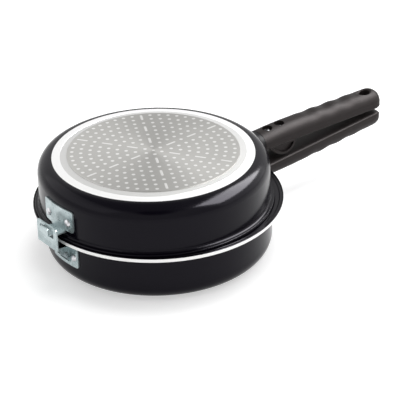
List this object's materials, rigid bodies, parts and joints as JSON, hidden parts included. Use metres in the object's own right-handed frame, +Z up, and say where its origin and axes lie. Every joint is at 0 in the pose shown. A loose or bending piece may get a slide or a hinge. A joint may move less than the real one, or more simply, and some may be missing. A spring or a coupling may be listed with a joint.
{
  "type": "double sided flip pan",
  "caption": "Two round non-stick frying pans closed rim to rim and hooked together by a steel hinge, with induction discs in their bases and two long parallel handles.",
  "frame": {"origin": "centre of the lower pan's base, on the face it rests on", "axes": "+X along the two handles, away from the hinge; +Z up, from the lower pan to the upper pan"},
  "size_m": [0.4537, 0.26, 0.1119],
  "materials": {
    "coated_aluminium": "black coating, glossy outside, with a bare turned rim edge and base ring",
    "induction_steel": "perforated stainless steel",
    "zinc_steel": "zinc plated sheet",
    "rivet_steel": "plated, domed",
    "guard_black": "black satin",
    "bakelite": "satin moulded bakelite",
    "bracket_steel": "plain steel",
    "screw_steel": "plated"
  },
  "bodies": {
    "lower_assembly": {"lower_pan": "coated_aluminium", "lower_induction_disc": "induction_steel", "lower_hinge_bracket": "zinc_steel", "lower_hinge_rivet_near": "rivet_steel", "lower_hinge_rivet_far": "rivet_steel", "lower_flame_guard": "guard_black", "lower_handle": "bakelite", "lower_handle_bracket": "bracket_steel", "lower_handle_rivet_near": "rivet_steel", "lower_handle_rivet_far": "rivet_steel", "lower_handle_screw_root": "screw_steel", "lower_handle_screw_grip": "screw_steel"},
    "upper_assembly": {"upper_pan": "coated_aluminium", "upper_induction_disc": "induction_steel", "upper_hinge_plate": "zinc_steel", "upper_hinge_rivet_near": "rivet_steel", "upper_hinge_rivet_far": "rivet_steel", "upper_flame_guard": "guard_black", "upper_handle": "bakelite", "upper_handle_bracket": "bracket_steel", "upper_handle_rivet_near": "rivet_steel", "upper_handle_rivet_far": "rivet_steel", "upper_handle_screw_root": "screw_steel", "upper_handle_screw_grip": "screw_steel"}
  },
  "joints": [
    {"name": "pan_hinge", "type": "hinge", "parent": "lower_assembly", "child": "upper_assembly", "pos_m": [-0.138, 0, 0.07335], "axis": [0, -1, 0], "range_deg": [0, 180]}
  ]
}
